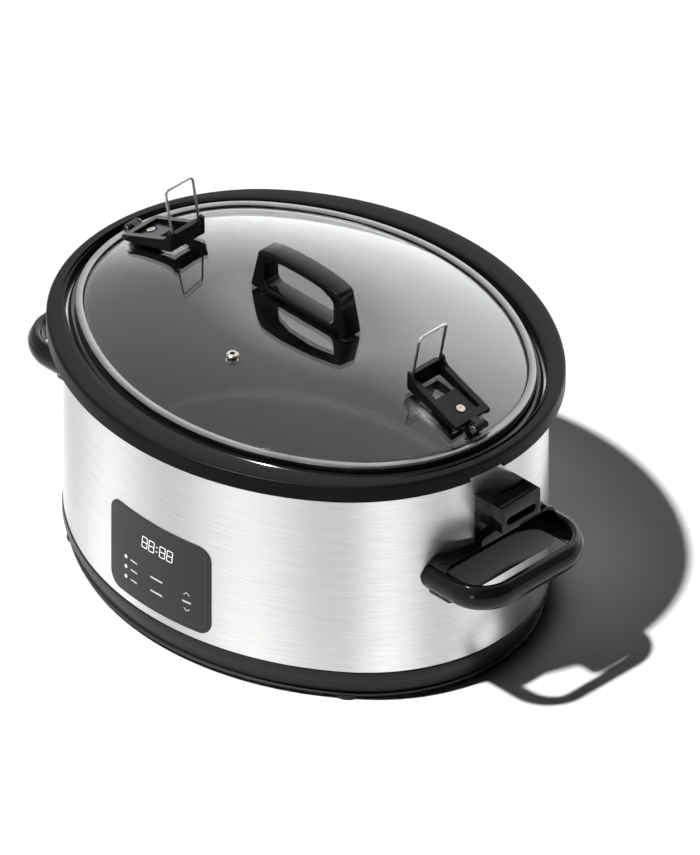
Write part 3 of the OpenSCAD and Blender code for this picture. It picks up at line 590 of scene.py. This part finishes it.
def extruded(name, outline, low, high, axis, material, bevel=0.0, limit=30):
    """Extrudes a flat outline between two levels of an axis; outline holds the other two."""
    def place(p, level):
        return {"x": (level, p[0], p[1]), "y": (p[0], level, p[1]), "z": (p[0], p[1], level)}[axis]
    n = len(outline)
    points = [place(p, low) for p in outline] + [place(p, high) for p in outline]
    faces = [tuple(range(n)), tuple(range(n, 2 * n))]
    faces += [(i, (i + 1) % n, n + (i + 1) % n, n + i) for i in range(n)]
    return solid_mesh(name, points, faces, material, bevel, limit=limit)


def joined(name, meshes, material):
    """One mesh from several closed ones of one piece."""
    made = bmesh.new()
    for mesh in meshes:
        made.from_mesh(mesh)
    mesh = bpy.data.meshes.new(name)
    made.to_mesh(mesh)
    made.free()
    mesh.materials.append(material)
    return mesh


def carved(mesh, cutter, bevel=0.0, limit=40):
    """Cuts one closed mesh out of another and then rounds the edges, all made final."""
    whole = bpy.data.objects.new("carving", mesh)
    tool = bpy.data.objects.new("cutter", cutter)
    for o in (whole, tool):
        scene.collection.objects.link(o)
    cut = whole.modifiers.new("cut", "BOOLEAN")
    cut.object = tool
    cut.solver = "EXACT"
    if bevel:
        soften = whole.modifiers.new("soften", "BEVEL")
        soften.width = bevel * mm
        soften.segments = 3
        soften.limit_method = "ANGLE"
        soften.angle_limit = math.radians(limit)
    bpy.context.view_layer.update()
    made = bpy.data.meshes.new_from_object(whole.evaluated_get(bpy.context.evaluated_depsgraph_get()))
    for o in (whole, tool):
        bpy.data.objects.remove(o)
    return made


def mirrored(mesh, name):
    """The left-hand twin of a right-hand mesh, with its faces turned right way out."""
    made = bmesh.new()
    made.from_mesh(mesh)
    for v in made.verts:
        v.co.x = -v.co.x
    bmesh.ops.reverse_faces(made, faces=made.faces)
    twin = bpy.data.meshes.new(name)
    made.to_mesh(twin)
    made.free()
    for material in mesh.materials:
        twin.materials.append(material)
    return twin


body_a = body_c + body_r
loop_out, loop_w, loop_corner, loop_y, loop_z = 43.0, 9.0, 29.0, 55.0, 94.5
bar_section = [(0.0, 6.9), (0.09, 8.4), (0.3, 9.5), (0.5, 9.58), (0.66, 8.9), (0.86, 5.2), (0.97, 3.1),
               (1.0, 1.6), (0.96, -2.0), (0.84, -5.0), (0.66, -7.6), (0.45, -8.6), (0.2, -8.7), (0.06, -7.6),
               (0.0, -5.8)]
path = [(body_a - 20, loop_y - loop_w, 90.0)]
turn_x, turn_y = body_a + loop_out - loop_corner, loop_y - loop_corner
in_r = loop_corner - loop_w
path.append((turn_x - 12, loop_y - loop_w, 90.0))
for step in range(15):
    a = 90 - 90 * step / 14
    path.append((turn_x + in_r * math.cos(math.radians(a)), turn_y + in_r * math.sin(math.radians(a)), a))
path += [(x, -y, -a) for x, y, a in reversed(path)]
points, faces, n = [], [], len(bar_section)
for x, y, a in path:
    for share, z in bar_section:
        out = share * loop_w
        points.append((x + out * math.cos(math.radians(a)), y + out * math.sin(math.radians(a)), loop_z + z))
for i in range(len(path) - 1):
    faces += [(i * n + j, i * n + (j + 1) % n, (i + 1) * n + (j + 1) % n, (i + 1) * n + j) for j in range(n)]
faces += [tuple(range(n)), tuple(range(len(points) - n, len(points)))]
loop = solid_mesh("loop", points, faces, gloss_black)
plate_face, catch_w, catch_low, catch_h = body_a + 5, 35.2, 129.2, 19.1
plate_line = rounded_outline(2 * loop_y - 10.4, 31.6, 6)
back_plate = extruded("back_plate", [(y, loop_z + z) for y, z in plate_line], body_a - 14, plate_face, "x",
                      gloss_black, 0.8)
neck = extruded("neck", [(-catch_w / 2, loop_z + 12), (catch_w / 2, loop_z + 12), (catch_w / 2, catch_low - 0.1),
                         (-catch_w / 2, catch_low - 0.1)], body_a - 9, plate_face, "x", gloss_black, 0.7)
handle = joined("side_handle", [loop, back_plate, neck], gloss_black)
add_piece("side_handle_r", handle, "housing", ["side_handle_right"], 40)
add_piece("side_handle_l", mirrored(handle, "side_handle_l"), "housing", ["side_handle_left"],
          40)


# Catch blocks. A thick black block over each handle, with a long round-ended slot in its face
# that takes the crossbar of the latch wire, and a shallow groove along its top.
catch_face, hook_z = 196.46, 135.9
block = extruded("block", [(-catch_w / 2, catch_low), (catch_w / 2, catch_low),
                           (catch_w / 2, catch_low + catch_h), (-catch_w / 2, catch_low + catch_h)],
                 body_a - 4.8, catch_face, "x", gloss_black, 0)
slot_line = [(y, hook_z + z) for y, z in rounded_outline(26.4, 5.8, 2.8)]
slot_cut = extruded("slot_cut", slot_line, catch_face - 6.3, catch_face + 4, "x", gloss_black)
groove = extruded("groove", [(-catch_w / 2 + 1.6, catch_low + catch_h - 0.5), (catch_w / 2 - 1.6, catch_low + catch_h - 0.5),
                             (catch_w / 2 - 1.6, catch_low + catch_h + 1), (-catch_w / 2 + 1.6, catch_low + catch_h + 1)],
                  catch_face - 3.4, catch_face - 2.7, "x", gloss_black)
block = carved(carved(block, groove), slot_cut, 0.7)
add_piece("catch_r", block, "housing", ["catch_block_right"], 40)
add_piece("catch_l", mirrored(block, "catch_l"), "housing", ["catch_block_left"], 40)


# Collar notches. The collar's lower edge is cut back beside each catch block, so that a finger
# can reach behind the latch wire. The front half of the right notch shows from the camera.
notch_l, notch_h = 28.0, 3.4
for side in (1, -1):
    x0, x1, y0, y1 = side * body_a, side * (body_a + 20), side * (1 - notch_l), side * 1
    collar = carved(collar, extruded("notch", [(x0, y0), (x1, y0), (x1, y1), (x0, y1)], collar_low - 1,
                                     collar_low + notch_h, "z", collar_black))
collar.name = "collar"
add_piece("collar", collar, "housing", ["top_collar"])


# Crock. A heavy stoneware dish, glazed black all over, that hangs by its flange in the well.
seat_z = rim_top - 10
crock_top, crock_floor = seat_z + 7, seat_z + 7 - 128.0
crock_r, base_r = body_r - 11.5, body_r - 23.5
crock_rows = [(base_r - 30, crock_floor - 5.2), (base_r - 22, crock_floor - 6), (base_r - 8, crock_floor - 6)]
for step in range(1, 5):
    a = math.radians(22.5 * step)
    crock_rows.append((base_r - 8 + 8 * math.sin(a), crock_floor - 6 + 8 * (1 - math.cos(a))))
crock_rows += [(crock_r, seat_z + 1.2), (open_r - 2.6, seat_z + 1.2), (open_r - 2.0, seat_z + 1.9),
               (open_r - 1.7, crock_top - 3), (open_r - 2.2, crock_top - 1.2), (open_r - 3.8, crock_top - 0.05),
               (crock_r - 3, crock_top - 0.1), (crock_r - 5, crock_top - 0.8), (crock_r - 6, crock_top - 2.6),
               (base_r - 6, crock_floor + 12)]
for step in range(5, -1, -1):
    a = math.radians(15 * step)
    crock_rows.append((base_r - 18 + 12 * math.sin(a), crock_floor + 12 * (1 - math.cos(a))))
crock_rows.append((base_r - 30, crock_floor))
glaze = moulded("black_glaze", (0.011, 0.011, 0.012), 0.12, 260, 0.00001, 0.4)


def dished(name, rows, material):
    """A swept shell whose first and last rows are closed across the middle."""
    around = 192
    mesh = swept_mesh(name, body_rows(*rows), material, False, around)
    made = bmesh.new()
    made.from_mesh(mesh)
    made.verts.ensure_lookup_table()
    n = len(rows)
    for j in (0, n - 1):
        made.faces.new([made.verts[i * n + j] for i in range(around)])
    bmesh.ops.recalc_face_normals(made, faces=made.faces)
    made.to_mesh(mesh)
    made.free()
    return mesh


add_piece("crock", dished("crock", crock_rows, glaze), "crock", ["crock"])


# Lid. Domed tempered glass in a polished steel ring, with a soft seal under its edge.
ring_r = open_r - 6.1
glass_r = ring_r - 5.3
flat_r, dome_h, glass_t = 9.3, 21.0, 4.0
glass_edge = crock_top + 5


def dome(r):
    return glass_edge + dome_h * (1 - ((r - flat_r) / (glass_r - flat_r)) ** 2)


upper = [flat_r + (glass_r - 0.1 - flat_r) * i / 30 for i in range(31)]
glass_rows = [(1.0, glass_edge + dome_h)] + [(r, dome(r)) for r in upper]
glass_rows += [(glass_r, glass_edge - 0.4), (ring_r - 2.2, glass_edge - 0.5), (ring_r - 2.2, glass_edge - 3.4)]
glass_rows += [(r, dome(r) - glass_t) for r in reversed(upper)] + [(1.0, glass_edge + dome_h - glass_t)]
clear_glass, tree, shader = new_material("lid_glass")
shader.inputs["Transmission Weight"].default_value = 1.0
shader.inputs["IOR"].default_value = 1.5
smear = noise(tree, 7, 3, 0.6, tree.nodes.new("ShaderNodeTexCoord").outputs["Object"])
clear = tree.nodes.new("ShaderNodeMix")
clear.data_type = "RGBA"
clear.inputs[6].default_value = (0.9, 0.965, 0.945, 1)
clear.inputs[7].default_value = (0.95, 0.985, 0.97, 1)
tree.links.new(smear, clear.inputs[0])
tree.links.new(clear.outputs[2], shader.inputs["Base Color"])
shader.inputs["Roughness"].default_value = 0.0
add_piece("lid_glass", dished("lid_glass", glass_rows, clear_glass), "lid", ["lid_glass"], 60)
polished = moulded("polished_steel", (0.46, 0.46, 0.45), 0.2, 400, 0.00001, metal=1.0, patch=60)
ring_steel = moulded("ring_steel", (0.2, 0.2, 0.2), 0.25, 400, 0.00001, metal=1.0, patch=40)
ring_top = crock_top + 6.3
ring_rows = body_rows(
    (ring_r - 1.9, glass_edge - 3.55), (ring_r - 0.6, glass_edge - 3.55), (ring_r, glass_edge - 2.8),
    (ring_r, ring_top - 1.3), (ring_r - 0.2, ring_top - 0.7), (ring_r - 0.7, ring_top - 0.2),
    (ring_r - 1.6, ring_top), (glass_r + 1.1, ring_top), (glass_r + 0.3, ring_top - 0.2),
    (glass_r + 0.02, ring_top - 0.6), (glass_r + 0.02, glass_edge + 0.1), (ring_r - 1.9, glass_edge + 0.1))
add_piece("lid_ring", swept_mesh("lid_ring", ring_rows, ring_steel), "lid", ["lid_ring"])


# Lid handle. A closed black gloss grip with an arched top and sides that lean in, held by two
# screws from under the glass.
grip_l, grip_w, grip_h, lean_in, arch = 43.9, 13.4, 35.6, 7.0, 3.6
foot = glass_edge + dome_h + 0.8
side_h, half_top = grip_h - arch - 0.4, grip_l - lean_in
arch_r = (half_top ** 2 + arch ** 2) / (2 * arch)


def arched(half, low, corner_top, corner_low, lean, drop):
    """Half-width at the foot, arched top; corners rounded with small arcs."""
    line = []
    top = half - lean
    r = corner_top
    for i in range(7):
        a = math.radians(15 * i)
        line.append((top - r + r * math.cos(a) + 0.5, foot + side_h - drop - r + r * math.sin(a)))
    for i in range(1, 16):
        x = (top - r) * (1 - i / 8)
        line.append((x, foot + side_h + arch - drop - arch_r + math.sqrt(arch_r ** 2 - x * x)))
    line += [(-x, z) for x, z in reversed(line[:7])]
    if corner_low:
        for i in range(7):
            a = math.radians(180 + 15 * i)
            line.append((-half + corner_low + corner_low * math.cos(a), low + corner_low + corner_low * math.sin(a)))
        line += [(-x, z) for x, z in reversed(line[-7:])]
    else:
        line += [(-half, low), (half, low)]
    return line


grip = extruded("grip", arched(grip_l, foot, 4.5, 0, lean_in, 0), -grip_w / 2, grip_w / 2, "y", gloss_black)
hollow = extruded("hollow", arched(31.4, foot + 4.2, 5.5, 5.5, 0.6, 6.2), -9, 9, "y", gloss_black)
grip = carved(grip, hollow, 0.8, 35)
add_piece("lid_grip", grip, "lid", ["lid_handle"], 35)


# Latches. A black base screwed through the glass carries a steel pin; a lever of two rails and
# an end wall turns on it, and a bent spring wire hangs in the lever's end wall.
seat_x = body_c + ring_r - 26
hinge_x = seat_x + 18.6
seat_top = dome(seat_x - body_c)
hinge_z = seat_top - 0.75
wall_x, pivot_x, pivot_z = hinge_x - 50.5, hinge_x - 48.7, hinge_z + 20.1
latch_black = moulded("latch_plastic", (0.004, 0.004, 0.004), 0.26, 1500, 0.00002, 0.06, 0.0005, 0.12)
for node in ("latch_base_left", "latch_base_right", "latch_lever_left", "latch_lever_right"):
    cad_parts[node].data.materials.clear()
    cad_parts[node].data.materials.append(latch_black)
wire_r, bail_y, bail_l, bail_lean, bend = 0.95, 12.2, 34.4, math.radians(11), 3.0


def wire_mesh(name, line, radius, material, sides=14):
    """A round wire along a line of points in mm, closed at both ends."""
    points, faces = [], []
    across = None
    for i, p in enumerate(line):
        before, after = line[max(i - 1, 0)], line[min(i + 1, len(line) - 1)]
        along = (Vector(after) - Vector(before)).normalized()
        across = Vector((1, 0, 0)) if across is None else across
        across = (across - along * across.dot(along)).normalized()
        other = along.cross(across)
        for k in range(sides):
            a = 2 * math.pi * k / sides
            points.append(Vector(p) + (across * math.cos(a) + other * math.sin(a)) * radius)
    for i in range(len(line) - 1):
        for k in range(sides):
            j = (k + 1) % sides
            faces.append((i * sides + k, i * sides + j, (i + 1) * sides + j, (i + 1) * sides + k))
    faces += [tuple(range(sides)), tuple(range(len(points) - sides, len(points)))]
    return solid_mesh(name, points, faces, material)


def bend_points(cy, cz, r, start, end, steps=6):
    """Points of a bend in a wire that lies in one plane, between two angles in degrees."""
    return [(0, cy + r * math.cos(math.radians(start + (end - start) * i / steps)),
             cz + r * math.sin(math.radians(start + (end - start) * i / steps))) for i in range(steps + 1)]


side = [(0, 14.7, 0), (0, 13.2, 0)] + bend_points(bail_y + 0.9, 0.9, 0.9, 270, 180, 5)
side += [(0, bail_y, 12), (0, bail_y, bail_l - bend - 2)] + bend_points(bail_y - bend, bail_l - bend, bend, 0, 90)
line = side + [(0, -y, z) for x, y, z in reversed(side)]
line = [(pivot_x + z * math.sin(bail_lean), y, pivot_z + z * math.cos(bail_lean)) for x, y, z in line]
bail = wire_mesh("bail", line, wire_r - 0.01, polished)
add_piece("bail_r", bail, "bail_right", ["latch_bail_right"], 50)
add_piece("bail_l", mirrored(bail, "bail_l"), "bail_left", ["latch_bail_left"], 50)


# Small fixings and the unseen inside: screws, pins, washers, boards, heater and shields keep
# their made shapes and take the finish of what each one is.
plated = moulded("plated_steel", (0.6, 0.6, 0.58), 0.3, 500, 0.00002, metal=1.0, patch=300)
bright = moulded("bright_steel", (0.36, 0.33, 0.29), 0.25, 700, 0.00001, metal=1.0, patch=400)
spun = moulded("spun_aluminium", (0.72, 0.73, 0.74), 0.38, 900, 0.00004, metal=1.0, patch=120)
rubber = moulded("soft_rubber", (0.02, 0.02, 0.02), 0.8, 700, 0.00008)
board = moulded("board_mask", (0.015, 0.12, 0.05), 0.35, 500, 0.00004)
mica = moulded("heater_mica", (0.45, 0.36, 0.24), 0.75, 300, 0.0002)
white_ceramic = moulded("fuse_ceramic", (0.8, 0.79, 0.75), 0.3, 400, 0.00003)
blue_case = moulded("relay_case", (0.02, 0.06, 0.22), 0.3, 900, 0.00002)
finishes = {
    satin_black: ["control_carrier", "display_module"],
    lip_painted_highlight: ["bottom_cover"],
    plated: ["cover_screws", "tie_bolt", "tie_nut", "board_screws", "handle_screws", "lid_handle_screws",
             "latch_nuts"],
    bright: ["vent_grommet", "latch_screws", "hinge_pin_left", "hinge_pin_right"],
    spun: ["heating_well", "heat_shield", "temperature_sensor"],
    rubber: ["rubber_feet", "cord_bushing", "lid_gasket", "lid_handle_washers", "latch_pads"],
    board: ["control_board", "power_board"],
    mica: ["heater_band"],
    white_ceramic: ["thermal_fuse", "indicator_leds"],
    blue_case: ["power_relay"],
}
for material, nodes in finishes.items():
    for node in nodes:
        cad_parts[node].data.materials.clear()
        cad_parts[node].data.materials.append(material)
